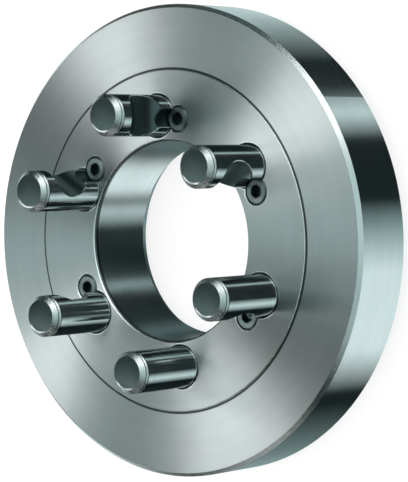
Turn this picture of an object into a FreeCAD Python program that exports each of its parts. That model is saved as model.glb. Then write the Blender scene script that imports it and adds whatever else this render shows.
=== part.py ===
"""Chuck adapter plate with a camlock spindle side.

A turned steel flange carries a lathe chuck on one side and locks to the
spindle nose on the other. The spindle side looks up: a thin raised seat ring,
a short 1:4 taper in the bore, six camlock studs on one pitch circle, and one
socket head lock screw beside each stud. The chuck side looks down: a register
spigot, a flat chuck face and three blind tapped holes.

The origin is on the spindle axis, in the end face of the register spigot that
the plate stands on. +Z points towards the spindle, +X goes through stud 1.
All lengths are in millimetres.
"""
import FreeCAD, Part
import math
import os

import Sketcher

# Driving dimensions. Every one of them can be changed by itself.
DIMENSIONS = (
    ("plate_diameter", 250.0, "outside diameter of the flange"),
    ("flange_thickness", 38.0, "chuck face to the outer spindle side face"),
    ("front_chamfer", 2.0, "outer edge on the spindle side"),
    ("rear_chamfer", 1.7, "outer edge on the chuck side"),
    ("seat_diameter", 181.0, "raised ring that meets the spindle nose"),
    ("seat_height", 0.7, "how far the seat ring stands proud"),
    ("seat_edge_break", 0.3, "edge of the seat ring"),
    ("taper_diameter", 106.375, "mouth of the short taper in the seat plane"),
    ("taper_half_angle", 7.125, "degrees, half of the included angle"),
    ("taper_depth", 14.0, "depth of the short taper"),
    ("mouth_chamfer", 1.1, "edge between the seat and the taper"),
    ("relief_length", 6.0, "length of the cone that opens the bore downwards"),
    ("relief_width", 3.2, "how far that cone opens on the radius"),
    ("register_diameter", 200.0, "spigot that centres the chuck"),
    ("register_height", 5.0, "length of the spigot"),
    ("register_chamfer", 0.8, "edge of the spigot"),
    ("undercut_width", 1.2, "groove in the chuck face, round the root of the spigot"),
    ("undercut_depth", 0.3, "depth of that groove"),
    ("bolt_circle", 224.0, "pitch circle of the chuck bolts"),
    ("bolt_count", 3.0, "number of chuck bolts"),
    ("bolt_offset_angle", 30.0, "degrees from stud 1 to the first bolt"),
    ("bolt_hole_diameter", 12.0, "tapped hole for a chuck bolt"),
    ("bolt_hole_depth", 24.0, "full diameter depth of that hole"),
    ("bolt_hole_chamfer", 0.9, "countersink of that hole"),
    ("stud_circle", 133.35, "pitch circle of the studs"),
    ("stud_count", 6.0, "number of studs"),
    ("stud_diameter", 22.0, "locking body of a stud"),
    ("stud_projection", 42.5, "seat plane to the stud tip"),
    ("stud_tip_width", 2.2, "tip cone measured on the radius"),
    ("stud_tip_length", 2.2, "tip cone measured along the stud"),
    ("stud_sunk_length", 12.5, "locking body below the seat plane"),
    ("stud_foot_chamfer", 1.0, "lower edge of the locking body"),
    ("stud_foot_relief", 0.2, "the sunk foot is this much smaller on the radius than the ground body"),
    ("setting_groove_width", 0.4, "groove at the seat that shows how deep the stud is set"),
    ("setting_groove_depth", 0.45, "depth of that groove"),
    ("stud_gap", 0.9, "radial gap round the body in its counterbore"),
    ("stud_floor_gap", 1.5, "gap below the body in its counterbore"),
    ("stud_thread", 16.0, "threaded shank of a stud"),
    ("stud_thread_length", 19.0, "length of that shank"),
    ("thread_clearance", 0.05, "radial clearance of every screwed shank"),
    ("thread_chamfer", 1.2, "point of a threaded shank"),
    ("drill_allowance", 3.0, "hole that is left below a shank"),
    ("notch_radius", 13.0, "cam notch, a cylinder cut square to the stud"),
    ("notch_floor", 2.8, "stud axis to the floor of the cam notch"),
    ("notch_height", 19.8, "seat plane to the middle of the cam notch"),
    ("notch_turn", 7.0, "degrees the notch faces inwards of the tangent"),
    ("notch_edge_break", 0.4, "edge round the cam notch"),
    ("lock_circle", 129.4, "pitch circle of the lock screws"),
    ("lock_angle", 12.3, "degrees from a stud to its lock screw"),
    ("lock_thread", 8.0, "threaded shank of a lock screw"),
    ("lock_thread_length", 16.0, "length of that shank"),
    ("lock_head_diameter", 13.0, "head of a lock screw"),
    ("lock_head_height", 8.0, "height of that head"),
    ("lock_head_chamfer", 0.6, "upper edge of that head"),
    ("lock_head_gap", 0.6, "radial gap round the head in its counterbore"),
    ("lock_flute_gap", 0.3, "radial gap between the head and the stud flute"),
    ("lock_flute_rise", 11.3, "seat plane to the top of the stud flute"),
    ("lock_socket", 6.0, "hexagon socket, across the flats"),
    ("lock_socket_depth", 4.0, "depth of that socket"),
    ("hole_edge_break", 0.4, "edge of the counterbores"),
)

document = FreeCAD.newDocument("chuck_adapter_plate")
sheet = document.addObject("Spreadsheet::Sheet", "Dimensions")
for row, (alias, number, meaning) in enumerate(DIMENSIONS, start=1):
    sheet.set(f"A{row}", alias)
    sheet.set(f"B{row}", str(number))
    sheet.setAlias(f"B{row}", alias)
    sheet.set(f"C{row}", meaning)
document.recompute()


class Size:
    """A size that knows its expression and its present value."""

    def __init__(self, text, value):
        self.text = text
        self.value = value

    @staticmethod
    def of(other):
        return other if isinstance(other, Size) else Size(repr(float(other)), float(other))

    def joined(self, sign, other, value):
        return Size(f"({self.text} {sign} {other.text})", value)

    def __add__(self, other):
        other = Size.of(other)
        return self.joined("+", other, self.value + other.value)

    def __sub__(self, other):
        other = Size.of(other)
        return self.joined("-", other, self.value - other.value)

    def __mul__(self, other):
        other = Size.of(other)
        return self.joined("*", other, self.value * other.value)

    def __truediv__(self, other):
        other = Size.of(other)
        return self.joined("/", other, self.value / other.value)

    def __radd__(self, other):
        return Size.of(other) + self

    def __rsub__(self, other):
        return Size.of(other) - self

    def __rmul__(self, other):
        return Size.of(other) * self

    def __rtruediv__(self, other):
        return Size.of(other) / self


def named(alias):
    """The size behind one alias of the sheet."""
    return Size(f"Dimensions.{alias}", float(sheet.get(alias)))


def cosine(angle):
    """Cosine of an angle in degrees."""
    angle = Size.of(angle)
    return Size(f"cos({angle.text} * 1 deg)", math.cos(math.radians(angle.value)))


def sine(angle):
    """Sine of an angle in degrees."""
    angle = Size.of(angle)
    return Size(f"sin({angle.text} * 1 deg)", math.sin(math.radians(angle.value)))


def tangent(angle):
    """Tangent of an angle in degrees."""
    angle = Size.of(angle)
    return Size(f"tan({angle.text} * 1 deg)", math.tan(math.radians(angle.value)))


def origin_plane(body, role):
    """One of the three origin planes of a body."""
    return next(item for item in body.Origin.OriginFeatures if item.Role == role)


def new_sketch(body, name, role):
    """An empty sketch on an origin plane of its own body."""
    sketch = body.newObject("Sketcher::SketchObject", name)
    sketch.AttachmentSupport = [(origin_plane(body, role), "")]
    sketch.MapMode = "FlatFace"
    return sketch


def hold(sketch, kind, first, first_end, second, second_end, size):
    """One dimension of a sketch, bound to the sheet."""
    size = Size.of(size)
    index = sketch.addConstraint(
        Sketcher.Constraint(kind, first, first_end, second, second_end, size.value)
    )
    sketch.setExpression(f"Constraints[{index}]", size.text)


def closed_profile(sketch, corners):
    """A closed outline through corners, each given as (across, up)."""
    corners = [(Size.of(across), Size.of(up)) for across, up in corners]
    points = [FreeCAD.Vector(across.value, up.value, 0) for across, up in corners]
    count = len(points)
    for index in range(count):
        sketch.addGeometry(Part.LineSegment(points[index], points[(index + 1) % count]), False)
    for index in range(count):
        sketch.addConstraint(
            Sketcher.Constraint("Coincident", index, 2, (index + 1) % count, 1)
        )
    for index, (across, up) in enumerate(corners):
        if across.value == 0.0:
            sketch.addConstraint(Sketcher.Constraint("PointOnObject", index, 1, -2))
        else:
            hold(sketch, "DistanceX", -1, 1, index, 1, across)
        if up.value == 0.0:
            sketch.addConstraint(Sketcher.Constraint("PointOnObject", index, 1, -1))
        else:
            hold(sketch, "DistanceY", -1, 1, index, 1, up)


def revolved(body, name, sketch):
    """A full turn of a profile about the upright axis of its sketch."""
    feature = body.newObject("PartDesign::Revolution", name)
    feature.Profile = sketch
    feature.ReferenceAxis = (sketch, ["V_Axis"])
    feature.Angle = 360.0
    return feature


def drilled_ring(body, name, axis_sketch, radius, turn, count, steps):
    """Stepped blind holes on a pitch circle.

    The steps are (hole radius, height) pairs from the mouth to the bottom, and
    the drill leaves a 118 degree point below the last one. Turn is the angle
    from +X to the first hole.
    """
    sketch = new_sketch(body, f"{name}_profile", "XZ_Plane")
    turn = Size.of(turn)
    sketch.AttachmentOffset = FreeCAD.Placement(
        FreeCAD.Vector(0, 0, 0), FreeCAD.Rotation(FreeCAD.Vector(0, 1, 0), turn.value)
    )
    if turn.value:
        sketch.setExpression("AttachmentOffset.Rotation.Angle", turn.text)
    steps = [(Size.of(width), Size.of(height)) for width, height in steps]
    last_width, last_height = steps[-1]
    upwards = 1.0 if last_height.value > steps[0][1].value else -1.0
    point = last_height + last_width * (upwards / math.tan(math.radians(59.0)))
    corners = [(radius, steps[0][1])]
    corners += [(radius + width, height) for width, height in steps]
    corners.append((radius, point))
    closed_profile(sketch, corners)
    axis = sketch.addGeometry(
        Part.LineSegment(
            FreeCAD.Vector(radius.value, steps[0][1].value, 0),
            FreeCAD.Vector(radius.value, point.value, 0),
        ),
        True,
    )
    sketch.addConstraint(Sketcher.Constraint("Coincident", axis, 1, 0, 1))
    sketch.addConstraint(Sketcher.Constraint("Coincident", axis, 2, len(corners) - 1, 1))
    groove = body.newObject("PartDesign::Groove", name)
    groove.Profile = sketch
    groove.ReferenceAxis = (sketch, ["Axis0"])
    groove.Angle = 360.0
    document.recompute()
    pattern = body.newObject("PartDesign::PolarPattern", f"{name}_ring")
    pattern.Originals = [groove]
    pattern.Axis = (axis_sketch, ["V_Axis"])
    pattern.Angle = 360.0
    pattern.setExpression("Occurrences", count.text)
    body.Tip = pattern
    document.recompute()


# Sizes that several pieces share.
seat_plane = named("register_height") + named("flange_thickness") + named("seat_height")
outer_face = named("register_height") + named("flange_thickness")
stud_ring = named("stud_circle") / 2
stud_radius = named("stud_diameter") / 2
lock_ring = named("lock_circle") / 2
head_radius = named("lock_head_diameter") / 2
shank_end = named("stud_sunk_length") + named("stud_thread_length")
stud_pitch = 360.0 / named("stud_count")


def make_plate():
    """The turned flange with its bore, seat ring, spigot and holes."""
    body = document.addObject("PartDesign::Body", "adapter_plate")
    body.Label = "adapter_plate"
    sketch = new_sketch(body, "plate_section", "XZ_Plane")
    rim = named("plate_diameter") / 2
    seat = named("seat_diameter") / 2
    taper_mouth = named("taper_diameter") / 2
    slope = tangent(named("taper_half_angle"))
    mouth = taper_mouth - named("mouth_chamfer") * slope
    bore = taper_mouth - named("taper_depth") * slope
    spigot = named("register_diameter") / 2
    groove = named("register_height") + named("undercut_depth")
    closed_profile(sketch, [
        (bore + named("relief_width"), 0),
        (spigot - named("register_chamfer"), 0),
        (spigot, named("register_chamfer")),
        (spigot, groove),
        (spigot + named("undercut_width"), groove),
        (spigot + named("undercut_width"), named("register_height")),
        (rim - named("rear_chamfer"), named("register_height")),
        (rim, named("register_height") + named("rear_chamfer")),
        (rim, outer_face - named("front_chamfer")),
        (rim - named("front_chamfer"), outer_face),
        (seat, outer_face),
        (seat, seat_plane - named("seat_edge_break")),
        (seat - named("seat_edge_break"), seat_plane),
        (mouth + named("mouth_chamfer"), seat_plane),
        (mouth, seat_plane - named("mouth_chamfer")),
        (bore, seat_plane - named("taper_depth")),
        (bore, named("relief_length")),
    ])
    revolved(body, "turned_flange", sketch)
    document.recompute()

    well = stud_radius + named("stud_gap")
    floor = seat_plane - named("stud_sunk_length") - named("stud_floor_gap")
    thread = named("stud_thread") / 2 + named("thread_clearance")
    drilled_ring(body, "stud_holes", sketch, stud_ring, 0.0, named("stud_count"), [
        (well + named("hole_edge_break"), seat_plane),
        (well, seat_plane - named("hole_edge_break")),
        (well, floor),
        (thread, floor),
        (thread, seat_plane - shank_end - named("drill_allowance")),
    ])
    pocket = head_radius + named("lock_head_gap")
    shoulder = seat_plane - named("lock_head_height")
    thread = named("lock_thread") / 2 + named("thread_clearance")
    drilled_ring(
        body, "lock_holes", sketch, lock_ring, stud_pitch - named("lock_angle"),
        named("stud_count"), [
            (pocket + named("hole_edge_break"), seat_plane),
            (pocket, seat_plane - named("hole_edge_break")),
            (pocket, shoulder),
            (thread, shoulder),
            (thread, shoulder - named("lock_thread_length") - named("drill_allowance")),
        ],
    )
    tapped = named("bolt_hole_diameter") / 2
    drilled_ring(
        body, "bolt_holes", sketch, named("bolt_circle") / 2, named("bolt_offset_angle"),
        named("bolt_count"), [
            (tapped + named("bolt_hole_chamfer"), named("register_height")),
            (tapped, named("register_height") + named("bolt_hole_chamfer")),
            (tapped, named("register_height") + named("bolt_hole_depth")),
        ],
    )
    return body


def circle_cut(body, name, role, across, up, radius, lift, length, both_ways):
    """A round pocket square to an origin plane of the body."""
    sketch = new_sketch(body, f"{name}_circle", role)
    across = Size.of(across)
    up = Size.of(up)
    radius = Size.of(radius)
    length = Size.of(length)
    if lift is not None:
        sketch.AttachmentOffset = FreeCAD.Placement(
            FreeCAD.Vector(0, 0, lift.value), FreeCAD.Rotation()
        )
        sketch.setExpression("AttachmentOffset.Base.z", lift.text)
    sketch.addGeometry(
        Part.Circle(
            FreeCAD.Vector(across.value, up.value, 0), FreeCAD.Vector(0, 0, 1), radius.value
        ),
        False,
    )
    hold(sketch, "DistanceX", -1, 1, 0, 3, across)
    hold(sketch, "DistanceY", -1, 1, 0, 3, up)
    ring = sketch.addConstraint(Sketcher.Constraint("Radius", 0, radius.value))
    sketch.setExpression(f"Constraints[{ring}]", radius.text)
    cut = body.newObject("PartDesign::Pocket", name)
    cut.Profile = sketch
    cut.Type = "Length"
    cut.Midplane = both_ways
    cut.setExpression("Length", length.text)
    return cut


def break_notch_edges(body, name, cut):
    """A small chamfer on every edge of the cylinder that lies across the stud."""
    wall = next(
        face for face in cut.Shape.Faces
        if isinstance(face.Surface, Part.Cylinder) and abs(face.Surface.Axis.x) > 0.9
    )
    names = [
        f"Edge{index}" for index, edge in enumerate(cut.Shape.Edges, start=1)
        if any(edge.isSame(other) for other in wall.Edges)
    ]
    chamfer = body.newObject("PartDesign::Chamfer", name)
    chamfer.Base = (cut, names)
    chamfer.setExpression("Size", named("notch_edge_break").text)
    return chamfer


def place_on_circle(body, radius, angle, turn, height):
    """Stand a piece on a pitch circle, all values bound to the sheet."""
    angle = Size.of(angle)
    turn = Size.of(turn)
    body.Placement = FreeCAD.Placement(
        FreeCAD.Vector(0, 0, 0), FreeCAD.Rotation(FreeCAD.Vector(0, 0, 1), turn.value)
    )
    body.setExpression("Placement.Base.x", (radius * cosine(angle)).text)
    body.setExpression("Placement.Base.y", (radius * sine(angle)).text)
    body.setExpression("Placement.Base.z", height.text)
    body.setExpression("Placement.Rotation.Angle", turn.text)


def make_stud(number):
    """One camlock stud: threaded shank, locking body, cam notch and flute.

    In its own frame the stud stands on the end of its shank, and its notch
    faces +Y. In the plate the notch looks clockwise round the circle.
    """
    body = document.addObject("PartDesign::Body", f"camlock_stud_{number}")
    body.Label = f"camlock_stud_{number}"
    sketch = new_sketch(body, f"stud_section_{number}", "XZ_Plane")
    shank = named("stud_thread") / 2
    seat = shank_end
    tip = seat + named("stud_projection")
    foot = stud_radius - named("stud_foot_relief")
    closed_profile(sketch, [
        (0, 0),
        (shank - named("thread_chamfer"), 0),
        (shank, named("thread_chamfer")),
        (shank, named("stud_thread_length")),
        (foot - named("stud_foot_chamfer"), named("stud_thread_length")),
        (foot, named("stud_thread_length") + named("stud_foot_chamfer")),
        (foot, seat),
        (stud_radius - named("setting_groove_depth"), seat + named("setting_groove_width") / 2),
        (stud_radius, seat + named("setting_groove_width")),
        (stud_radius, tip - named("stud_tip_length")),
        (stud_radius - named("stud_tip_width"), tip),
        (0, tip),
    ])
    revolved(body, f"stud_blank_{number}", sketch)
    document.recompute()
    circle_cut(
        body, f"cam_notch_{number}", "YZ_Plane",
        named("notch_floor") + named("notch_radius"), seat + named("notch_height"),
        named("notch_radius"), None, stud_radius * 4, True,
    )
    document.recompute()
    inwards = stud_ring - lock_ring * cosine(named("lock_angle"))
    clockwise = lock_ring * sine(named("lock_angle"))
    turn = named("notch_turn")
    flute = circle_cut(
        body, f"lock_flute_{number}", "XY_Plane",
        inwards * cosine(turn) - clockwise * sine(turn),
        inwards * sine(turn) + clockwise * cosine(turn),
        head_radius + named("lock_flute_gap"), seat + named("lock_flute_rise"),
        named("stud_sunk_length") + named("lock_flute_rise"), False,
    )
    document.recompute()
    break_notch_edges(body, f"notch_edges_{number}", flute)
    angle = stud_pitch * float(number - 1)
    place_on_circle(body, stud_ring, angle, angle + 180.0 - turn, seat_plane - seat)
    return body


def make_lock_screw(number):
    """One socket head screw whose head locks the stud beside it."""
    body = document.addObject("PartDesign::Body", f"lock_screw_{number}")
    body.Label = f"lock_screw_{number}"
    sketch = new_sketch(body, f"screw_section_{number}", "XZ_Plane")
    shank = named("lock_thread") / 2
    under = named("lock_thread_length")
    top = under + named("lock_head_height")
    closed_profile(sketch, [
        (0, 0),
        (shank - named("thread_chamfer") / 2, 0),
        (shank, named("thread_chamfer") / 2),
        (shank, under),
        (head_radius, under),
        (head_radius, top - named("lock_head_chamfer")),
        (head_radius - named("lock_head_chamfer"), top),
        (0, top),
    ])
    revolved(body, f"screw_blank_{number}", sketch)
    document.recompute()

    hexagon = new_sketch(body, f"socket_hexagon_{number}", "XY_Plane")
    hexagon.AttachmentOffset = FreeCAD.Placement(
        FreeCAD.Vector(0, 0, top.value), FreeCAD.Rotation()
    )
    hexagon.setExpression("AttachmentOffset.Base.z", top.text)
    corner = named("lock_socket") / (2 * math.cos(math.radians(30.0)))
    points = [
        FreeCAD.Vector(
            corner.value * math.cos(math.radians(60.0 * step)),
            corner.value * math.sin(math.radians(60.0 * step)), 0,
        )
        for step in range(6)
    ]
    for step in range(6):
        hexagon.addGeometry(Part.LineSegment(points[step], points[(step + 1) % 6]), False)
    guide = hexagon.addGeometry(
        Part.Circle(FreeCAD.Vector(0, 0, 0), FreeCAD.Vector(0, 0, 1), corner.value), True
    )
    for step in range(6):
        hexagon.addConstraint(Sketcher.Constraint("Coincident", step, 2, (step + 1) % 6, 1))
        hexagon.addConstraint(Sketcher.Constraint("PointOnObject", step, 1, guide))
    for step in range(1, 6):
        hexagon.addConstraint(Sketcher.Constraint("Equal", 0, step))
    hexagon.addConstraint(Sketcher.Constraint("Coincident", guide, 3, -1, 1))
    hexagon.addConstraint(Sketcher.Constraint("PointOnObject", 0, 1, -1))
    ring = hexagon.addConstraint(Sketcher.Constraint("Radius", guide, corner.value))
    hexagon.setExpression(f"Constraints[{ring}]", corner.text)
    socket = body.newObject("PartDesign::Pocket", f"hexagon_socket_{number}")
    socket.Profile = hexagon
    socket.Type = "Length"
    socket.setExpression("Length", named("lock_socket_depth").text)

    angle = stud_pitch * float(number - 1) - named("lock_angle") + 360.0
    place_on_circle(body, lock_ring, angle, angle, seat_plane - top)
    return body


stud_total = int(round(named("stud_count").value))
bodies = [make_plate()]
bodies += [make_stud(number) for number in range(1, stud_total + 1)]
bodies += [make_lock_screw(number) for number in range(1, stud_total + 1)]
document.recompute()

for item in document.Objects:
    if "Invalid" in item.State or "Error" in item.State:
        raise RuntimeError(f"{item.Name} did not build: {item.State}")
for body in bodies:
    shape = body.Shape
    if shape.isNull() or not shape.isValid() or len(shape.Solids) != 1:
        raise RuntimeError(f"{body.Label} is not one valid solid")
    for feature in body.Group:
        if feature.isDerivedFrom("PartDesign::Pocket") or feature.isDerivedFrom("PartDesign::Groove"):
            before = feature.BaseFeature.Shape.Volume
            if before - feature.Shape.Volume < 1.0:
                raise RuntimeError(f"{feature.Name} cuts nothing")

os.makedirs("parts", exist_ok=True)
for body in bodies:
    body.Shape.exportStep(f"parts/{body.Label}.step")
    box = body.Shape.BoundBox
    print(
        f"{body.Label}: {body.Shape.Volume:.1f} mm3, z {box.ZMin:.2f} to {box.ZMax:.2f}, "
        f"{len(body.Shape.Faces)} faces"
    )
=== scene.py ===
"""Chuck adapter plate for a short-taper camlock spindle, finished and lit.

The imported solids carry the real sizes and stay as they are. This script dresses
them in turned, ground and blackened steel, adds the screw threads that the solids
leave out, and sets up the studio: a pale floor, a soft surround whose panels and
gaps give turned steel its fan of light, and a camera at the photograph's angle.
"""

from __future__ import annotations

import logging
import math
from dataclasses import dataclass
from enum import Enum

import bmesh
import bpy
from mathutils import Matrix, Vector


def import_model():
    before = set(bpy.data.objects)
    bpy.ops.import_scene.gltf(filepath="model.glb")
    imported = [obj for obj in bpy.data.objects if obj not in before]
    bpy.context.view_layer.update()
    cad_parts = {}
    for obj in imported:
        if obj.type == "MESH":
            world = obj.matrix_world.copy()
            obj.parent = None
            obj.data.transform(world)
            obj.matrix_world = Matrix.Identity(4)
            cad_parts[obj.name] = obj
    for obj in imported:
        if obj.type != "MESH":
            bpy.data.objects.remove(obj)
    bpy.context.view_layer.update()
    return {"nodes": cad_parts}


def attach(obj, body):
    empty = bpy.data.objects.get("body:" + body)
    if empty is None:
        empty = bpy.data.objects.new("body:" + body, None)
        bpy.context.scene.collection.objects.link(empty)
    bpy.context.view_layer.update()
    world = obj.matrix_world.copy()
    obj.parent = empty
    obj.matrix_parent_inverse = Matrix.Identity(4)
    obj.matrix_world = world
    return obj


log = logging.getLogger("adapter_plate")

MM = 0.001

Triple = tuple[float, float, float]
Colour = Triple

WHITE = (1.0, 1.0, 1.0, 1.0)
QUARTER_TURN = 0.25
# Where most of a noise's values lie.
NOISE_SPAN = (0.3, 0.7)
# How upright a wall is at most, and a chamfer and a flat face at least.
WALL_BELOW, BEVEL_FROM, FACE_FROM = 0.2, 0.5, 0.9


class Signal:
    """A shader value or colour that takes part in arithmetic."""

    def __init__(self, sheet: Sheet, socket: bpy.types.NodeSocket) -> None:
        """Wraps a socket.

        Args:
            sheet: the sheet whose tree holds the socket.
            socket: the output socket.
        """
        self.sheet = sheet
        self.socket = socket

    def _math(self, operation: str, *values: Signal | float) -> Signal:
        """Adds a Math node for values given in order.

        Args:
            operation: what the node does.
            values: its inputs in order.

        Returns:
            The result.
        """
        node = self.sheet.make(
            "ShaderNodeMath", {"operation": operation}, dict(enumerate(values))
        )
        return Signal(self.sheet, node.outputs[0])

    def __add__(self, other: Signal | float) -> Signal:
        """self + other."""
        return self._math("ADD", self, other)

    def __radd__(self, other: float) -> Signal:
        """other + self."""
        return self._math("ADD", other, self)

    def __sub__(self, other: Signal | float) -> Signal:
        """self - other."""
        return self._math("SUBTRACT", self, other)

    def __rsub__(self, other: float) -> Signal:
        """other - self."""
        return self._math("SUBTRACT", other, self)

    def __mul__(self, other: Signal | float) -> Signal:
        """self * other."""
        return self._math("MULTIPLY", self, other)

    def __rmul__(self, other: float) -> Signal:
        """other * self."""
        return self._math("MULTIPLY", other, self)

    def __truediv__(self, other: Signal | float) -> Signal:
        """self / other."""
        return self._math("DIVIDE", self, other)

    def __rtruediv__(self, other: float) -> Signal:
        """other / self."""
        return self._math("DIVIDE", other, self)

    def __pow__(self, other: Signal | float) -> Signal:
        """self ** other."""
        return self._math("POWER", self, other)

    def above(self, other: Signal | float) -> Signal:
        """1 where self is greater than other, else 0."""
        return self._math("GREATER_THAN", self, other)

    def below(self, other: Signal | float) -> Signal:
        """1 where self is less than other, else 0."""
        return self._math("LESS_THAN", self, other)

    def at_most(self, other: Signal | float) -> Signal:
        """The smaller of self and other."""
        return self._math("MINIMUM", self, other)

    def at_least(self, other: Signal | float) -> Signal:
        """The greater of self and other."""
        return self._math("MAXIMUM", self, other)

    def fraction(self) -> Signal:
        """What is left past the whole number."""
        return self._math("FRACT", self)

    def size(self) -> Signal:
        """The absolute value."""
        return self._math("ABSOLUTE", self)

    def cosine(self) -> Signal:
        """The cosine of an angle in radians."""
        return self._math("COSINE", self)

    def eased(self, start: float, end: float, low: float = 0.0, high: float = 1.0) -> Signal:
        """A smooth change from low to high.

        Args:
            start: where the change begins.
            end: where it ends.
            low: the value before the start.
            high: the value after the end.

        Returns:
            The eased value.
        """
        node = self.sheet.make(
            "ShaderNodeMapRange",
            {"interpolation_type": "SMOOTHSTEP"},
            {"Value": self, "From Min": start, "From Max": end, "To Min": low, "To Max": high},
        )
        return Signal(self.sheet, node.outputs["Result"])


class Sheet:
    """The node tree of a finish or of the surround."""

    def __init__(self, tree: bpy.types.NodeTree) -> None:
        """Empties a tree and takes it over."""
        self.tree = tree
        tree.nodes.clear()

    def make(
        self, kind: str, settings: dict | None = None, values: dict | None = None
    ) -> bpy.types.Node:
        """Adds one node.

        Args:
            kind: the node's type.
            settings: its own settings, such as an operation or a ramp's stops, set first.
            values: the values or links of its sockets, by name or number.

        Returns:
            The new node.
        """
        node = self.tree.nodes.new(kind)
        for name, value in (settings or {}).items():
            if name == "stops":
                self._fill_ramp(node.color_ramp, value)
            else:
                setattr(node, name, value)
        for name, value in (values or {}).items():
            if isinstance(value, Signal):
                self.tree.links.new(value.socket, node.inputs[name])
            else:
                node.inputs[name].default_value = value
        return node

    def take(self, kind: str, output: str | int, settings: dict | None = None,
             values: dict | None = None) -> Signal:
        """Adds one node and returns one of its outputs.

        Args:
            kind: the node's type.
            output: the name or number of the output.
            settings: as for make.
            values: as for make.

        Returns:
            The output as a signal.
        """
        return Signal(self, self.make(kind, settings, values).outputs[output])

    @staticmethod
    def _fill_ramp(ramp: bpy.types.ColorRamp, stops: list[tuple[float, Colour]]) -> None:
        """Writes a ramp's stops, which come in rising order of place.

        Args:
            ramp: the ramp.
            stops: the place and the colour of each.
        """
        while len(ramp.elements) > 1:
            ramp.elements.remove(ramp.elements[-1])
        for index, (place, colour) in enumerate(stops):
            stop = ramp.elements[0] if index == 0 else ramp.elements.new(place)
            stop.position = place
            stop.color = (*colour, 1.0)

    def vector(self, operation: str, *values: Signal | tuple, output: str = "Vector") -> Signal:
        """Adds a Vector Math node.

        Args:
            operation: what it does.
            values: its vectors in order.
            output: Vector or Value.

        Returns:
            The result.
        """
        return self.take(
            "ShaderNodeVectorMath", output, {"operation": operation}, dict(enumerate(values))
        )

    def parts(self, vector: Signal) -> tuple[Signal, Signal, Signal]:
        """Splits a vector into its three numbers."""
        node = self.make("ShaderNodeSeparateXYZ", None, {0: vector})
        return tuple(Signal(self, out) for out in node.outputs)

    def joined(self, x: Signal | float, y: Signal | float, z: Signal | float) -> Signal:
        """Makes a vector from three numbers."""
        return self.take("ShaderNodeCombineXYZ", 0, None, {0: x, 1: y, 2: z})

    def blend(self, share: Signal | float, first: Signal | Colour,
              second: Signal | Colour) -> Signal:
        """Mixes two colours.

        Args:
            share: how much of the second, 0 to 1.
            first: the colour at share 0.
            second: the colour at share 1.

        Returns:
            The mixed colour.
        """
        pair = [c if isinstance(c, Signal) else (*c, 1.0) for c in (first, second)]
        return self.take(
            "ShaderNodeMix", 2, {"data_type": "RGBA"}, {0: share, 6: pair[0], 7: pair[1]}
        )

    def noise(self, place: Signal, scale: float, detail: float = 3.0) -> Signal:
        """Soft random values of about 0.2 to 0.8.

        Args:
            place: where in space each point reads them.
            scale: how many changes to a unit of place.
            detail: how many finer layers are added.

        Returns:
            The values.
        """
        return self.take(
            "ShaderNodeTexNoise", 0, None, {"Vector": place, "Scale": scale, "Detail": detail}
        )


@dataclass(frozen=True)
class Spot:
    """What a finish knows of the point that it colours.

    place is measured from the foot of the axis that the tool marks run round, radius
    and height from that axis and that foot. upright is 0 on a wall and 1 on a face that
    looks up or down. patches are soft random values.
    """

    place: Signal
    normal: Signal
    radius: Signal
    height: Signal
    upright: Signal
    patches: Signal


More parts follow.
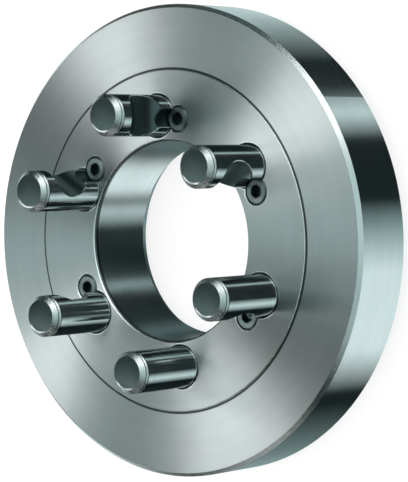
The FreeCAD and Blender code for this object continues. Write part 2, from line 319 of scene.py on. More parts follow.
@dataclass(frozen=True)
class SteelFinish:
    """A bare steel surface with tool marks that run round an axis.

    mark_pitch is the spacing of the marks, marks_to_pass their number to one wider
    pass of the tool, turned round. The grain scatters what bevels mirror.
    """

    name: str
    colour: Colour
    shade: Colour
    wall_roughness: float
    face_roughness: float
    stretch: float = 1.0
    mark_pitch: float = 0.9 * MM
    mark_depth: float = 0.08
    mark_height: float = 0.05 * MM
    mark_roughness: float = 0.08
    marks_to_pass: float = 0.12
    pass_share: float = 0.6
    patches_per_metre: float = 35.0
    patch_roughness: float = 0.06
    stain: float = 0.5
    grain_pitch: float = 0.06 * MM
    grain_spread: float = 1.0
    roughness_change: tuple[float, float] = (0.75, 0.9)

    def build(self) -> bpy.types.Material:
        """Makes the material.

        Returns:
            The finished material.
        """
        material = bpy.data.materials.new(self.name)
        material.use_nodes = True
        sheet = Sheet(material.node_tree)
        place, normal = self._place(sheet), sheet.take("ShaderNodeNewGeometry", "Normal")
        x, y, z = sheet.parts(place)
        radius = sheet.vector("LENGTH", sheet.joined(x, y, 0.0), output="Value")
        section = sheet.joined(radius, 0.0, z)
        marks = sheet.noise(section, 1.0 / self.mark_pitch, 2.0)
        passes = sheet.noise(section, self.marks_to_pass / self.mark_pitch, 2.0)
        patches = sheet.noise(place, self.patches_per_metre, 4.0)
        spot = Spot(place, normal, radius, z, sheet.parts(normal)[2].size(), patches)
        tone = passes * self.pass_share + patches * (1.0 - self.pass_share)
        steel = sheet.blend(tone.eased(*NOISE_SPAN) * self.stain, self.colour, self.shade)
        rough = spot.upright.eased(*self.roughness_change, self.wall_roughness, self.face_roughness)
        rough = rough + (marks - 0.5) * self.mark_roughness
        rough = rough + (patches - 0.5) * self.patch_roughness
        steel, rough = self._wear_and_painted_light(sheet, spot, steel, rough)
        bump = sheet.take(
            "ShaderNodeBump", 0, None,
            {
                "Strength": self.mark_depth, "Distance": self.mark_height, "Height": marks,
                "Normal": self._facing(sheet, spot),
            },
        )
        shader = sheet.take(
            "ShaderNodeBsdfPrincipled", 0, None,
            {
                "Base Color": steel, "Metallic": 1.0, "Roughness": rough, "Normal": bump,
                "Anisotropic": self.stretch, "Anisotropic Rotation": QUARTER_TURN,
            },
        )
        whole = self._coated(sheet, spot, shader)
        sheet.make("ShaderNodeOutputMaterial", None, {"Surface": whole})
        return material

    def _place(self, sheet: Sheet) -> Signal:
        """The point in metres, measured from the axis that the marks run round."""
        return sheet.take("ShaderNodeTexCoord", "Object")

    def _facing(self, sheet: Sheet, spot: Spot) -> Signal:
        """The normal that the tool marks are laid on; here the surface's own."""
        return spot.normal

    def _leant(self, sheet: Sheet, spot: Spot, scattered: Signal, outwards: Signal | None,
               upwards: Signal) -> Signal:
        """The normal, leant outwards and upwards and scattered round the axis.

        Args:
            sheet: the sheet that takes the nodes.
            spot: the point.
            scattered: 1 where the cut's grain scatters it.
            outwards: how far it leans away from the axis, or None for not at all.
            upwards: how far it leans up.

        Returns:
            The normal.
        """
        x, y, _ = sheet.parts(spot.place)
        grain = sheet.noise(spot.place, 1.0 / self.grain_pitch, 0.0)
        sway = (grain - 0.5) * self.grain_spread * scattered / spot.radius
        lean = sheet.joined(y * sway * -1.0, x * sway, upwards)
        if outwards is not None:
            out = outwards / spot.radius
            lean = sheet.vector("ADD", lean, sheet.joined(x * out, y * out, 0.0))
        return sheet.vector("NORMALIZE", sheet.vector("ADD", spot.normal, lean))

    def _wear_and_painted_light(self, sheet: Sheet, spot: Spot, steel: Signal,
              rough: Signal) -> tuple[Signal, Signal]:
        """The colour and roughness where wear or painted light changes them; here nowhere."""
        return steel, rough

    def _coated(self, sheet: Sheet, spot: Spot, shader: Signal) -> Signal:
        """The shader with any coating laid over parts of it; here none."""
        return shader


@dataclass(frozen=True)
class TurnedPlateSteel(SteelFinish):
    """The plate's turned steel, with painted highlights on its edges and painted shade in its
    corners.

    recesses holds, for the studs and for the lock screws, the bearing of the first in
    degrees, the circle's radius and the recess's radius.
    """

    # Painted highlights: the chamfers are coloured lighter, and the bore's mouth chamfer and the
    # recess rims near white.
    painted_edge_highlight: Colour = (0.80, 0.86, 0.85)
    painted_lip_highlight: Colour = (0.94, 1.0, 0.99)
    # Painted shade: the dark colour laid at the seat's foot, on the recess walls and inside the
    # bore's mouth.
    painted_shade: Colour = (0.032, 0.045, 0.044)
    edge_roughness: float = 0.22
    seat_radius: float = 90.5 * MM
    face_height: float = 43.0 * MM
    close: float = 1.0 * MM
    line_width: float = 1.15 * MM
    line_fade: tuple[float, float] = (0.35, 0.6)
    line_dark: float = 0.92
    line_roughness: float = 0.1
    bore_reach: float = 54.6 * MM
    bore_steep: float = 0.3
    lip_reach: float = 60.0 * MM
    mouth_shadow: tuple[float, float] = (41.3 * MM, 43.25 * MM)
    mouth_dark: float = 0.9
    recess_count: int = 6
    recesses: tuple[Triple, ...] = (
        (0.0, 66.675 * MM, 11.9 * MM), (-12.3, 64.7 * MM, 7.1 * MM),
    )
    recess_reach: tuple[float, float] = (55.0 * MM, 85.0 * MM)
    recess_floor: float = 20.0 * MM
    recess_dark: float = 0.85
    broken_edge: float = 0.5 * MM
    rim_margin: float = 0.1 * MM
    rim_rise: float = 0.3 * MM
    chamfer_radius: float = 120.0 * MM
    chamfer_height: float = 40.0 * MM
    chamfer_lean: float = 0.015
    chamfer_calm: float = 0.6

    def _facing(self, sheet: Sheet, spot: Spot) -> Signal:
        """The normal, level on the bore's slight taper and leant on the broken edges.

        Args:
            sheet: the sheet that takes the nodes.
            spot: the point.

        Returns:
            The normal.
        """
        taper = spot.radius.below(self.bore_reach) * spot.upright.below(self.bore_steep)
        rim, bevel = self._seat_rim(spot), self._bevel(spot)
        front = bevel * spot.height.above(self.chamfer_height)
        front = front * spot.radius.above(self.chamfer_radius)
        level = sheet.parts(spot.normal)[2] * taper * -1.0
        scattered = (bevel - front * self.chamfer_calm).at_least(rim)
        return self._leant(sheet, spot, scattered, rim, level + front * self.chamfer_lean)

    def _bevel(self, spot: Spot) -> Signal:
        """1 on the chamfers."""
        return spot.upright.above(BEVEL_FROM) * spot.upright.below(FACE_FROM)

    def _seat_rim(self, spot: Spot) -> Signal:
        """1 on the narrow broken rim of the raised seat.

        Args:
            spot: the point.

        Returns:
            1 or 0.
        """
        band = spot.radius.above(self.seat_radius - self.broken_edge)
        band = band * spot.radius.below(self.seat_radius + self.rim_margin)
        raised = spot.height.above(self.face_height + self.rim_rise)
        return band * spot.upright.above(FACE_FROM) * raised

    def _recess_gap(self, sheet: Sheet, spot: Spot) -> Signal:
        """How far a point lies outside the nearest stud or screw recess.

        Args:
            sheet: the sheet that takes the nodes.
            spot: the point.

        Returns:
            The distance.
        """
        bearing = sheet.take(
            "ShaderNodeTexGradient", "Fac", {"gradient_type": "RADIAL"}, {"Vector": spot.place}
        )
        sector = 360.0 / self.recess_count
        gaps = []
        for turn, reach, hole in self.recesses:
            off = (bearing * self.recess_count + (0.5 - turn / sector)).fraction() - 0.5
            across = (off * math.radians(sector)).cosine() * (2 * reach)
            away = (spot.radius * spot.radius + reach ** 2 - spot.radius * across) ** 0.5
            gaps.append(away - hole)
        return gaps[0].at_most(gaps[1])

    def _painted_shade_masks(self, spot: Spot) -> tuple[Signal, Signal]:
        """Where shade is painted: the seat's foot, the recess walls and the bore's mouth.

        Args:
            spot: the point.

        Returns:
            The painted shade line at the seat's foot, and how dark painted shade makes any point.
        """
        middle = self.seat_radius + self.line_width / 2
        fade = [self.line_width * share for share in self.line_fade]
        # Painted shade: a dark line in the corner round the foot of the raised seat.
        line = (spot.radius - middle).size().eased(*fade, 1.0, 0.0)
        line = line * (spot.height - self.face_height).size().below(self.close)
        near, far = self.recess_reach
        # Painted shade: the walls of the stud and screw recesses are darkened.
        recess = spot.upright.below(BEVEL_FROM) * spot.radius.above(near) * spot.radius.below(far)
        recess = recess * spot.height.above(self.recess_floor) * self.recess_dark
        # Painted shadow: a dark band just inside the bore's mouth.
        low, high = self.mouth_shadow
        mouth = spot.height.above(low) * spot.height.below(high)
        mouth = mouth * spot.radius.below(self.bore_reach)
        dark = (line * self.line_dark).at_least(recess).at_least(mouth * self.mouth_dark)
        return line, dark

    def _wear_and_painted_light(self, sheet: Sheet, spot: Spot, steel: Signal,
              rough: Signal) -> tuple[Signal, Signal]:
        """Paints highlights on the chamfers and broken edges, and shade in the corners and
        recesses.

        Args:
            sheet: the sheet that takes the nodes.
            spot: the point.
            steel: the plain colour.
            rough: the plain roughness.

        Returns:
            The colour with painted highlights and shade, and the roughness.
        """
        gap = self._recess_gap(sheet, spot)
        broken = gap.above(0.0) * gap.below(self.broken_edge) * spot.upright.above(FACE_FROM)
        broken = broken * spot.height.above(self.face_height - self.close)
        painted_edge_highlight = self._bevel(spot)
        painted_lip_highlight = (painted_edge_highlight * spot.radius.below(self.lip_reach)).at_least(broken)
        line, dark = self._painted_shade_masks(spot)
        # Painted highlights on the chamfers and broken edges, then painted shade over them.
        steel = sheet.blend(painted_lip_highlight, sheet.blend(painted_edge_highlight, steel, self.painted_edge_highlight), self.painted_lip_highlight)
        steel = sheet.blend(dark, steel, self.painted_shade)
        bright = painted_edge_highlight.at_least(painted_lip_highlight).at_least(self._seat_rim(spot))
        rough = rough * (1.0 - bright) + bright * self.edge_roughness + line * self.line_roughness
        return steel, rough


@dataclass(frozen=True)
class GroundPieceSteel(SteelFinish):
    """Steel ground round its own axis, black where unground, with painted light on the end face.

    extent is the piece's box, the heights are measured from its foot. The leans and
    tilts say how far a shading normal leaves the surface's own. coned is 1 for a piece
    with a coned tip, else 0.
    """

    extent: Triple = (22 * MM, 22 * MM, 74 * MM)
    black: Colour = (0.019, 0.031, 0.03)
    # Painted shade: the colour of the end face's side towards the light.
    painted_light_grey: Colour = (0.088, 0.127, 0.124)
    hollow: Colour = (0.08, 0.115, 0.112)
    black_roughness: float = 0.36
    black_patches: float = 0.15
    bare_from: float = 10.7 * MM
    tip_from: float = 71.7 * MM
    coned: float = 1.0
    crown: float = 0.16
    end_ring: tuple[float, float] = (0.0, 0.0)
    # The polished cone's and bevel's colour, also used for the painted highlight crescent on the
    # end face.
    polish_and_highlight: Colour = (0.66, 0.71, 0.70)
    polish_roughness: float = 0.2
    bevel: tuple[float, float] = (69.6 * MM, 71.2 * MM)
    bevel_tilt: float = 0.9
    line_width: float = 0.5 * MM
    wall_lean: float = 0.65
    # Painted highlight: a crescent of bare polished steel at the end face's edge, on the side
    # towards the light; the end face's painted shade lightens towards the same side.
    lit_side: tuple[float, float] = (-0.819, -0.574)
    highlight_from: float = 7.7 * MM
    highlight_fade: float = 0.5 * MM
    highlight_arc: tuple[float, float] = (0.5, 0.75)
    # Painted shade: the end face is painted from its black coat to grey towards the side of the
    # light.
    painted_shade_span: float = 0.75
    painted_shade_share: float = 0.8

    def _place(self, sheet: Sheet) -> Signal:
        """The point in metres from the foot of the piece's own axis.

        Args:
            sheet: the sheet that takes the nodes.

        Returns:
            The point.
        """
        share = sheet.take("ShaderNodeTexCoord", "Generated")
        centred = sheet.vector("SUBTRACT", share, (0.5, 0.5, 0.0))
        return sheet.vector("MULTIPLY", centred, self.extent)

    def _facing(self, sheet: Sheet, spot: Spot) -> Signal:
        """The normal, leant up on the wall and the second bevel, scattered round the tip's bevels.

        The wall's lean lets it mirror the tent's middle ring instead of the plate's face.

        Args:
            sheet: the sheet that takes the nodes.
            spot: the point.

        Returns:
            The normal.
        """
        bevel = self._bevel(spot)
        wall = spot.upright.below(WALL_BELOW) * spot.height.below(self.bevel[0])
        lean = bevel * self.bevel_tilt + wall * (self.wall_lean * self.coned)
        return self._leant(sheet, spot, self._cone(spot).at_least(bevel), None, lean)

    def _cone(self, spot: Spot) -> Signal:
        """1 on the cone at the piece's tip."""
        slanted = spot.upright.above(WALL_BELOW) * spot.upright.below(FACE_FROM)
        return spot.height.above(self.tip_from) * slanted * self.coned

    def _bevel(self, spot: Spot) -> Signal:
        """1 on the narrow second bevel below the cone.

        Args:
            spot: the point.

        Returns:
            1 or 0.
        """
        low, high = self.bevel
        band = spot.height.above(low) * spot.height.below(high)
        return band * spot.upright.below(WALL_BELOW) * self.coned

    def _side(self, sheet: Sheet, spot: Spot) -> Signal:
        """How far a point lies towards the side of the painted light, -1 to 1.

        Args:
            sheet: the sheet that takes the nodes.
            spot: the point.

        Returns:
            The share of the piece's half width.
        """
        x, y, _ = sheet.parts(spot.place)
        reach = self.extent[0] / 2
        return x * (self.lit_side[0] / reach) + y * (self.lit_side[1] / reach)

    def _painted_crescent(self, sheet: Sheet, spot: Spot) -> Signal:
        """1 on the crescent of the end face where a highlight is painted in bare polished steel.

        Args:
            sheet: the sheet that takes the nodes.
            spot: the point.

        Returns:
            1 on it, less where it fades, else 0.
        """
        crescent = spot.radius.eased(self.highlight_from, self.highlight_from + self.highlight_fade)
        crescent = crescent * self._side(sheet, spot).eased(*self.highlight_arc)
        end = spot.upright.above(FACE_FROM) * spot.height.above(self.tip_from)
        return crescent * end * self.coned

    def _crowned(self, sheet: Sheet, spot: Spot) -> Signal:
        """The normal, tilted outwards on the end face, which is slightly crowned.

        Args:
            sheet: the sheet that takes the nodes.
            spot: the point.

        Returns:
            The normal.
        """
        x, y, _ = sheet.parts(spot.place)
        tilt = spot.upright.above(FACE_FROM) * (self.crown / (self.extent[0] / 2))
        lean = sheet.joined(x * tilt, y * tilt, 0.0)
        return sheet.vector("NORMALIZE", sheet.vector("ADD", spot.normal, lean))

    def _wear_and_painted_light(self, sheet: Sheet, spot: Spot, steel: Signal,
              rough: Signal) -> tuple[Signal, Signal]:
        """Polishes the cone at the tip and paints a highlight on the end face's crescent.

        Args:
            sheet: the sheet that takes the nodes.
            spot: the point.
            steel: the plain colour.
            rough: the plain roughness.

        Returns:
            The polished colour with the painted highlight, and the roughness.
        """
        bevel = self._bevel(spot)
        ring = spot.height.above(self.bevel[0] - self.line_width) * spot.height.below(self.tip_from)
        line = ring * spot.upright.below(WALL_BELOW) * (1.0 - bevel) * self.coned
        # The polished cone and bevel, and the crescent of painted highlight.
        polish_and_highlight_mask = self._cone(spot).at_least(bevel).at_least(self._painted_crescent(sheet, spot))
        steel = sheet.blend(line, sheet.blend(polish_and_highlight_mask, steel, self.polish_and_highlight), self.black)
        return steel, rough * (1.0 - polish_and_highlight_mask) + polish_and_highlight_mask * self.polish_roughness

    def _coated(self, sheet: Sheet, spot: Spot, shader: Signal) -> Signal:
        """Lays the black coat over the unground surfaces, with painted shade across the end face.

        Args:
            sheet: the sheet that takes the nodes.
            spot: the point.
            shader: the ground steel.

        Returns:
            The two together.
        """
        wall = spot.radius.above(self.bare_from) * spot.upright.below(FACE_FROM)
        end = spot.radius.above(self.end_ring[0]) * spot.radius.below(self.end_ring[1])
        end = end * spot.upright.above(FACE_FROM) * spot.height.above(self.tip_from)
        bare = wall.at_least(self._cone(spot)).at_least(end).at_least(self._painted_crescent(sheet, spot))
        # Painted shade: the end face darkens away from the light and lightens towards it, with
        # random spots mixed in.
        side = self._side(sheet, spot).eased(-self.painted_shade_span, self.painted_shade_span)
        spots = spot.patches.eased(*NOISE_SPAN)
        painted_light_grey = side * self.painted_shade_share + spots * (1.0 - self.painted_shade_share)
        end_colour = sheet.blend(painted_light_grey, self.black, self.painted_light_grey)
        coat = sheet.take(
            "ShaderNodeBsdfPrincipled", 0, None,
            {
                "Base Color": sheet.blend(spot.upright.above(FACE_FROM), self.hollow, end_colour),
                "Metallic": 1.0,
                "Roughness": self.black_roughness + (spot.patches - 0.5) * self.black_patches,
                "Normal": self._crowned(sheet, spot),
            },
        )
        return sheet.take("ShaderNodeMixShader", 0, None, {0: bare, 1: coat, 2: shader})


@dataclass(frozen=True)
class Panel:
    """A white panel of the tent.

    Its bearings are in degrees, from the photograph's sight line; lead_in and lead_out
    are the degrees over which it fades at its two ends.
    """

    start: float
    end: float
    lead_in: float
    lead_out: float
    light: float

    def ends(self) -> list[float]:
        """The bearings where its light bends."""
        return [self.start - self.lead_in, self.start, self.end, self.end + self.lead_out]

    def at(self, bearing: float, period: float) -> float:
        """How bright it is at a bearing.

        Args:
            bearing: the bearing.
            period: after how many degrees the tent repeats.

        Returns:
            Its light there.
        """
        middle, half = (self.start + self.end) / 2, (self.end - self.start) / 2
        off = (bearing - middle + period / 2) % period - period / 2
        rise = min(max((off + half + self.lead_in) / self.lead_in, 0.0), 1.0)
        fall = min(max((half + self.lead_out - off) / self.lead_out, 0.0), 1.0)
        return self.light * min(rise, fall)


@dataclass(frozen=True)
class PanelRing:
    """White panels round the object with dark gaps between them.

    Faint light is bluish green: its red share rises from red_floor to 1 at full_light.
    """

    panels: tuple[Panel, ...]
    gap: float
    period: float = 360.0
    red_floor: float = 0.46
    red_bend: float = 0.45
    full_light: float = 2.6

    def colour(self, sheet: Sheet, bearing: Signal) -> Signal:
        """The ring's light as a colour.

        Args:
            sheet: the sheet that takes the nodes.
            bearing: 0 to 1 for bearings of -180 to 180 degrees.

        Returns:
            The colour.
        """
        times = 360.0 / self.period
        share = (bearing * times + 0.5 * times).fraction()
        bends = {round(b % self.period, 2) for p in self.panels for b in p.ends()}
        stops = [(b / self.period, self._light(b)) for b in sorted(bends | {0.0, self.period})]
        return sheet.take("ShaderNodeValToRGB", "Color", {"stops": stops}, {"Fac": share})

    def stripes(self, name: str) -> bpy.types.Material:
        """A round wall lit by the ring's panels inside and clear outside.

        Args:
            name: the material's name.

        Returns:
            The material.
        """
        material = bpy.data.materials.new(name)
        material.use_nodes = True
        sheet = Sheet(material.node_tree)
        place = sheet.take("ShaderNodeTexCoord", "Object")
        bearing = sheet.take(
            "ShaderNodeTexGradient", "Fac", {"gradient_type": "RADIAL"}, {"Vector": place}
        )
        back = sheet.take("ShaderNodeNewGeometry", "Backfacing")
        glow = sheet.take(
            "ShaderNodeEmission", 0, None, {"Color": self.colour(sheet, bearing), "Strength": 1.0}
        )
        clear = sheet.take("ShaderNodeBsdfTransparent", 0)
        both = sheet.take("ShaderNodeMixShader", 0, None, {0: back, 1: clear, 2: glow})
        sheet.make("ShaderNodeOutputMaterial", None, {"Surface": both})
        return material

    def _light(self, bearing: float) -> Colour:
        """The light at a bearing, with the gaps bluish green.

        Args:
            bearing: the bearing in degrees.

        Returns:
            The light as a colour.
        """
        level = self.gap + sum(p.at(bearing, self.period) for p in self.panels)
        rise = (level / self.full_light) ** self.red_bend
        share = self.red_floor + (1.0 - self.red_floor) * rise
        return (level * min(share, 1.0), level, level)


@dataclass
class Surround:
    """The white tent with its dark gaps, as the steel sees it.

    A turned surface spreads what it mirrors into a fan. Each bearing of the fan reads
    the tent where the bearing of the light's direction plus the photograph's sight
    line is the same, so the tent is drawn over that bearing. A flat turned face reads
    opposite bearings together, so the upper ring repeats after half a turn. A dark
    skirt, the middle ring, hangs above the horizon with two panels in it. skirt and
    border are the heights between which one ring passes into the next, as the upward
    part of a ray. daylight is what reaches the object other than by a mirror.
    """

    sight: Vector
    turn: float
    skirt: tuple[float, float] = (0.44, 0.54)
    border: tuple[float, float] = (-0.34, -0.2)
    daylight: float = 0.75
    upper: PanelRing = PanelRing((
        Panel(-7.5, 20, 8.5, 11.5, 0.88), Panel(28, 45, 8, 6, 2.85),
        Panel(53.5, 77, 5.5, 8, 0.36), Panel(98.5, 116, 13.5, 14, 3.15),
        Panel(157, 166, 8, 4, 0.12),
    ), 0.005, 180.0)
    lower: PanelRing = PanelRing((
        Panel(-30, -10, 12, 17, 1.45), Panel(29.3, 30.3, 7, 6, 1.15),
        Panel(70, 79, 24, 4, 0.97), Panel(118, 150, 14, 14, 1.1),
        Panel(186, 214, 14, 12, 0.9), Panel(238, 262, 8, 6, 1.3),
        Panel(-82, -72, 6, 26, 0.42),
    ), 0.02)
    middle: PanelRing = PanelRing((
        Panel(-23, -19, 14, 13, 1.1), Panel(34, 36, 4, 4, 0.7),
    ), 0.015)

    def build(self) -> bpy.types.World:
        """Makes the world.

        Returns:
            The world, which the scene then uses.
        """
        world = bpy.data.worlds.new("studio_tent")
        world.use_nodes = True
        sheet = Sheet(world.node_tree)
        way = sheet.take("ShaderNodeTexCoord", "Generated")
        half = sheet.vector("ADD", way, (self.sight.x, self.sight.y, 0.0))
        turned = sheet.take(
            "ShaderNodeVectorRotate", 0, {"rotation_type": "Z_AXIS"},
            {"Vector": half, "Angle": self.turn},
        )
        bearing = sheet.take(
            "ShaderNodeTexGradient", "Fac", {"gradient_type": "RADIAL"}, {"Vector": turned}
        )
        over, belt, under = (
            ring.colour(sheet, bearing) for ring in (self.upper, self.middle, self.lower)
        )
        height = sheet.parts(way)[2]
        skirted = sheet.blend(height.eased(*self.skirt), belt, over)
        tent = sheet.blend(height.eased(*self.border), under, skirted)
        rays = sheet.make("ShaderNodeLightPath")
        white, soft, mirrored = (
            sheet.take("ShaderNodeBackground", 0, None, {"Color": colour, "Strength": strength})
            for colour, strength in ((WHITE, 1.0), (WHITE, self.daylight), (tent, 1.0))
        )
        metal, lens, clear = (
            Signal(sheet, rays.outputs[f"Is {kind} Ray"])
            for kind in ("Glossy", "Camera", "Transmission")
        )
        lit = sheet.take("ShaderNodeMixShader", 0, None, {0: metal, 1: soft, 2: mirrored})
        shown = sheet.take(
            "ShaderNodeMixShader", 0, None, {0: lens.at_least(clear), 1: lit, 2: white}
        )
        sheet.make("ShaderNodeOutputWorld", None, {"Surface": shown})
        return world


@dataclass
class BoreReflector:
    """A striped tube below the bore, which only the bore's wall mirrors."""

    sight_turn: float
    segments: int = 96
    radius: float = 70 * MM
    top: float = -1 * MM
    length: float = 400 * MM
    ring: PanelRing = PanelRing((
        Panel(-127, -87, 30, 16, 1.6), Panel(-57, -52, 8, 26, 1.1), Panel(65, 68, 9, 9, 0.85),
        Panel(165, 176, 20, 12, 0.28),
    ), 0.02)

    def build(self) -> bpy.types.Object:
        """Makes the tube.

        Returns:
            The tube.
        """
        mesh = bpy.data.meshes.new("bore_reflector")
        shape = bmesh.new()
        bmesh.ops.create_cone(
            shape, cap_ends=False, segments=self.segments, radius1=self.radius,
            radius2=self.radius, depth=self.length,
        )
        shape.to_mesh(mesh)
        shape.free()
        tube = bpy.data.objects.new("bore_reflector", mesh)
        tube.location = (0.0, 0.0, self.top - self.length / 2)
        tube.rotation_euler = (0.0, 0.0, self.sight_turn)
        bpy.context.scene.collection.objects.link(tube)
        tube.visible_camera = tube.visible_diffuse = tube.visible_shadow = False
        tube.data.materials.append(self.ring.stripes("bore_stripes"))
        return tube


@dataclass
class Studio:
    """The floor, the soft lamp and the reflector under the bore.

    The floor lies a little under the plate. floor_glow is what the camera alone sees,
    so that the floor is white in the picture and throws little light on the object.
    """

    floor_side: float = 6.0
    floor_height: float = -0.2 * MM
    floor_white: float = 0.32
    floor_glow: float = 0.80
    lamp_side: float = 1.6
    lamp_power: float = 12.0
    lamp_place: Triple = (-0.35, 0.5, 1.6)

    def build(self, camera: PhotoCamera) -> None:
        """Sets the studio up.

        Args:
            camera: the camera, whose sight line the tent is drawn for.
        """
        scene = bpy.context.scene
        scene.view_settings.view_transform = "Standard"
        scene.world = Surround(camera.sight(), -math.radians(camera.azimuth)).build()
        BoreReflector(math.radians(camera.azimuth)).build()
        self._floor()
        self._lamp()

    def _floor(self) -> None:
        """A white floor with the shadow on it, clear from below, which the steel doesn't mirror."""
        bpy.ops.mesh.primitive_plane_add(
            size=self.floor_side, location=(0.0, 0.0, self.floor_height)
        )
        floor = bpy.context.object
        floor.name = "studio_floor"
        floor.visible_glossy = False
        material = bpy.data.materials.new("floor_white")
        material.use_nodes = True
        sheet = Sheet(material.node_tree)
        white = (self.floor_white,) * 3 + (1.0,)
        matt = sheet.take("ShaderNodeBsdfDiffuse", 0, None, {"Color": white})
        rays = sheet.make("ShaderNodeLightPath")
        lens = Signal(sheet, rays.outputs["Is Camera Ray"])
        glow = sheet.take(
            "ShaderNodeEmission", 0, None, {"Color": WHITE, "Strength": lens * self.floor_glow}
        )
        top = sheet.take("ShaderNodeAddShader", 0, None, {0: matt, 1: glow})
        below = sheet.take("ShaderNodeNewGeometry", "Backfacing")
        clear = sheet.take("ShaderNodeBsdfTransparent", 0)
        both = sheet.take("ShaderNodeMixShader", 0, None, {0: below, 1: top, 2: clear})
        sheet.make("ShaderNodeOutputMaterial", None, {"Surface": both})
        floor.data.materials.append(material)

    def _lamp(self) -> None:
        """A large soft lamp above the object."""
        data = bpy.data.lights.new("overhead_lamp", "AREA")
        data.shape = "DISK"
        data.size = self.lamp_side
        data.energy = self.lamp_power
        lamp = bpy.data.objects.new("overhead_lamp", data)
        lamp.location = self.lamp_place
        lamp.rotation_mode = "QUATERNION"
        lamp.rotation_quaternion = Vector(lamp.location).to_track_quat("Z", "Y")
        lamp.visible_glossy = False
        bpy.context.scene.collection.objects.link(lamp)


@dataclass
class PhotoCamera:
    """The camera, where the photograph was taken from.

    Its angles are in degrees, tilt from straight above. It looks past the middle of the
    plate's face by across, in metres.
    """

    distance: float = 1.2146
    tilt: float = 39.957
    azimuth: float = -32.84
    roll: float = -3.216
    lens: float = 171.57
    across: float = -0.01817
    face_height: float = 43.0 * MM
    clip: tuple[float, float] = (0.05, 50.0)

    def sight(self) -> Vector:
        """The direction from the plate to the camera.

        Returns:
            The direction, of length 1.
        """
        tilt, turn = math.radians(self.tilt), math.radians(self.azimuth)
        return Vector((
            math.sin(tilt) * math.cos(turn), math.sin(tilt) * math.sin(turn), math.cos(tilt)
        ))

    def build(self) -> bpy.types.Object:
        """Makes the camera.

        Returns:
            The camera object.
        """
        back = self.sight()
        turn, roll = math.radians(self.azimuth), math.radians(self.roll)
        right = Vector((-math.sin(turn), math.cos(turn), 0.0)).cross(back).normalized()
        up = back.cross(right)
        right, up = (
            right * math.cos(roll) + up * math.sin(roll),
            up * math.cos(roll) - right * math.sin(roll),
        )
        data = bpy.data.cameras.new("photo_camera")
        data.lens = self.lens
        data.clip_start, data.clip_end = self.clip
        camera = bpy.data.objects.new("photo_camera", data)
        place = back * self.distance - right * self.across + Vector((0, 0, self.face_height))
        rows = Matrix((right, up, back)).transposed().to_4x4()
        camera.matrix_world = Matrix.Translation(place) @ rows
        bpy.context.scene.collection.objects.link(camera)
        bpy.context.scene.camera = camera
        return camera


class Role(Enum):
    """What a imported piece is, by the start of its name."""

    PLATE = "adapter_plate"
    STUD = "camlock_stud"
    SCREW = "lock_screw"

    @staticmethod
    def of(name: str) -> Role:
        """The role of the piece with this name."""
        return next(role for role in Role if name.startswith(role.value))


@dataclass
class SteelPieces:
    """The plate, its studs and its lock screws, as packed."""

    nodes: dict

    def dress(self) -> bpy.types.Material:
        """Gives each node its finish.

        Returns:
            The plate's finish, for the threads cut in it.
        """
        plate = TurnedPlateSteel(
            "turned_plate_steel", (0.50, 0.547, 0.543), (0.425, 0.472, 0.468), 0.20, 0.45
        ).build()
        stud = GroundPieceSteel(
            "ground_stud_steel", (0.50, 0.55, 0.545), (0.42, 0.47, 0.465), 0.12, 0.36,
            mark_pitch=0.5 * MM,
        ).build()
        screw = GroundPieceSteel(
            "lock_screw_steel", (0.19, 0.238, 0.235), (0.13, 0.172, 0.17), 0.42, 0.45, 0.6,
            mark_pitch=0.4 * MM, extent=(13 * MM, 13 * MM, 24 * MM), bare_from=6.3 * MM,
            tip_from=23.5 * MM, coned=0.0, end_ring=(3.6 * MM, 5.9 * MM),
        ).build()
        finishes = {Role.PLATE: plate, Role.STUD: stud, Role.SCREW: screw}
        for name, node in sorted(self.nodes.items()):
            finish = finishes[Role.of(name)]
            node.data.materials.clear()
            node.data.materials.append(finish)
            log.info("%s dressed in %s", name, finish.name)
        return plate


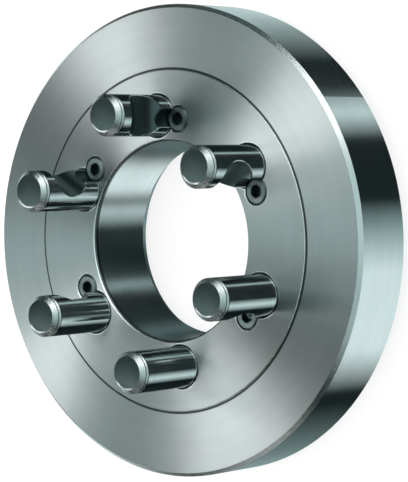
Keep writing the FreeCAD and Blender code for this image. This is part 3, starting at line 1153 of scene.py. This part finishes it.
@dataclass
class TappedHoles:
    """The threads in the three blind holes for the chuck's screws, which the solids leave plain.

    root_half and crest_half are half the ridge's width at its foot and its crest, in
    pitches. The foot is sunk in the hole's wall.
    """

    circle_radius: float = 112 * MM
    bearings: tuple[float, ...] = (30.0, 150.0, 270.0)
    hole_radius: float = 6 * MM
    crest_radius: float = 5.06 * MM
    pitch: float = 1.75 * MM
    bottom: float = 6.2 * MM
    top: float = 28.2 * MM
    steps: int = 36
    root_half: float = 0.44
    crest_half: float = 0.07
    sunk: float = 0.05 * MM

    def build(self, steel: bpy.types.Material) -> list[bpy.types.Object]:
        """Makes the three threads.

        Args:
            steel: the plate's finish.

        Returns:
            The thread objects.
        """
        threads = []
        for number, bearing in enumerate(self.bearings, 1):
            turn = math.radians(bearing)
            centre = Vector((math.cos(turn), math.sin(turn), 0.0)) * self.circle_radius
            thread = bpy.data.objects.new(f"chuck_hole_thread_{number}", self._mesh(number, centre))
            bpy.context.scene.collection.objects.link(thread)
            thread.data.materials.append(steel)
            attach(thread, "root")
            threads.append(thread)
            log.info("%s cut", thread.name)
        return threads

    def _mesh(self, number: int, centre: Vector) -> bpy.types.Mesh:
        """One ridge wound along a hole's wall, thin at its two ends.

        Args:
            number: the hole's number, from 1.
            centre: the middle of its mouth.

        Returns:
            The mesh.
        """
        mesh = bpy.data.meshes.new(f"chuck_hole_thread_{number}")
        shape = bmesh.new()
        turns = (self.top - self.bottom) / self.pitch
        count = int(turns * self.steps)
        root = self.hole_radius + self.sunk
        last = None
        for step in range(count + 1):
            angle = math.tau * step / self.steps
            full = min(step, count - step, self.steps // 2) / (self.steps // 2)
            height = self.bottom + self.pitch * step / self.steps
            crest = self.hole_radius - (self.hole_radius - self.crest_radius) * full
            section = (
                (root, -self.root_half), (crest, -self.crest_half),
                (crest, self.crest_half), (root, self.root_half),
            )
            row = [
                shape.verts.new(centre + Vector((
                    r * math.cos(angle), r * math.sin(angle), height + self.pitch * share
                )))
                for r, share in section
            ]
            if last:
                for a, b in ((0, 1), (1, 2), (2, 3)):
                    shape.faces.new((last[a], last[b], row[b], row[a]))
            last = row
        shape.normal_update()
        crest_face = shape.faces[:][1]
        if crest_face.normal.dot(centre - crest_face.calc_center_median()) < 0:
            bmesh.ops.reverse_faces(shape, faces=shape.faces[:])
        shape.to_mesh(mesh)
        shape.free()
        return mesh


def main() -> None:
    """Builds the scene."""
    logging.basicConfig(level=logging.INFO, format="%(name)s: %(message)s")
    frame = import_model()
    camera = PhotoCamera()
    camera.build()
    pieces = SteelPieces(frame["nodes"])
    TappedHoles().build(pieces.dress())
    Studio().build(camera)


if __name__ == "__main__":
    main()
